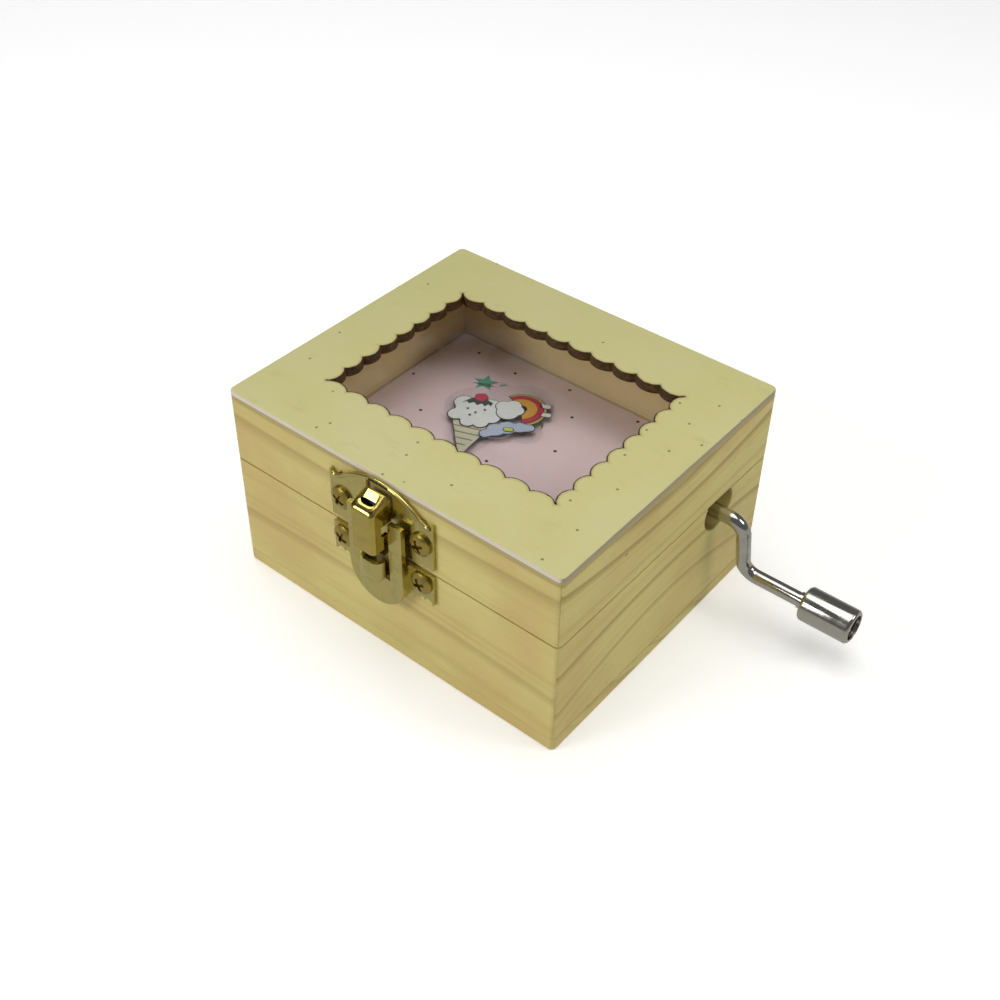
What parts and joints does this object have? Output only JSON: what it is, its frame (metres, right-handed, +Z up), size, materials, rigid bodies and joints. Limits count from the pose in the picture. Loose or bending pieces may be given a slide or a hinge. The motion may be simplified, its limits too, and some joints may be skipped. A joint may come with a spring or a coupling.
{
  "type": "hand-cranked music box",
  "caption": "Small pine box with a hinged lid, scalloped clear window, toggle latch and a side crank that turns a pinned cylinder against a comb.",
  "frame": {"origin": "centre of the wooden case's underside, on the surface that it stands on", "axes": "+Z up; +X along the front towards the crank; the latch faces -Y and the hinges +Y"},
  "size_m": [0.1106, 0.0777, 0.044],
  "materials": {
    "pine": "bare sanded pine with darker grain lines",
    "lid_panel": "pale plywood with a scorched window edge",
    "platform_board": "grey-brown board",
    "printed_card": "pink print with small dark dots",
    "foam_pad": "white foam",
    "clear_acrylic": "clear acrylic with a print inside",
    "window_sheet": "thin clear sheet",
    "movement_casting": "grey zinc casting",
    "plated_steel": "zinc-plated steel",
    "comb_steel": "ground steel",
    "latch_brass": "thin bright gilt plating",
    "hinge_brass": "bright gilt plating",
    "crank_nickel": "bright nickel plating",
    "movement_brass": "plain brass"
  },
  "bodies": {
    "case": {"base_bottom_board": "pine", "base_front_wall": "pine", "base_back_wall": "pine", "base_left_wall": "pine", "base_right_wall": "pine", "platform_posts": "pine", "platform_board": "platform_board", "picture_card": "printed_card", "charm_pad": "foam_pad", "acrylic_charm": "clear_acrylic", "movement_bedplate": "movement_casting", "movement_screws": "plated_steel", "bearing_brackets": "plated_steel", "bracket_screws": "plated_steel", "comb": "comb_steel", "comb_screws": "plated_steel", "latch_keeper": "latch_brass", "keeper_screws": "latch_brass", "hinge_leaves_base": "hinge_brass", "hinge_screws_base": "hinge_brass", "hinge_pins": "plated_steel"},
    "lid": {"lid_front_wall": "pine", "lid_back_wall": "pine", "lid_left_wall": "pine", "lid_right_wall": "pine", "lid_top_panel": "lid_panel", "window_sheet": "window_sheet", "hinge_leaves_lid": "hinge_brass", "hinge_screws_lid": "hinge_brass", "latch_plate": "latch_brass", "latch_plate_screws": "latch_brass", "latch_pivot_pin": "plated_steel"},
    "latch_lever": {"latch_lever": "latch_brass"},
    "crank": {"crank_rod": "crank_nickel", "crank_worm": "movement_brass"},
    "knob": {"crank_knob": "crank_nickel"},
    "cylinder": {"cylinder_arbor": "plated_steel", "cylinder_drum": "movement_brass", "cylinder_pins": "plated_steel", "cylinder_wheel": "movement_brass"}
  },
  "joints": [
    {"name": "lid_hinge", "type": "hinge", "parent": "case", "child": "lid", "pos_m": [0, 0.0359, 0.0274], "axis": [-1, 0, 0], "range_deg": [0, 105]},
    {"name": "latch_pivot", "type": "hinge", "parent": "lid", "child": "latch_lever", "pos_m": [0, -0.0366, 0.0401], "axis": [-1, 0, 0], "range_deg": [0, 85]},
    {"name": "crank_turn", "type": "hinge", "parent": "case", "child": "crank", "pos_m": [0.04, 0.017, 0.0239], "axis": [1, 0, 0], "continuous": true},
    {"name": "knob_spin", "type": "hinge", "parent": "crank", "child": "knob", "pos_m": [0.0598, 0.02006, 0.00952], "axis": [1, 0, 0], "continuous": true},
    {"name": "cylinder_turn", "type": "hinge", "parent": "case", "child": "cylinder", "pos_m": [0.014, 0, 0.01615], "axis": [0, 1, 0], "continuous": true}
  ],
  "couplings": [
    {"joint": "cylinder_turn", "follows": "crank_turn", "ratio": -0.041667}
  ]
}
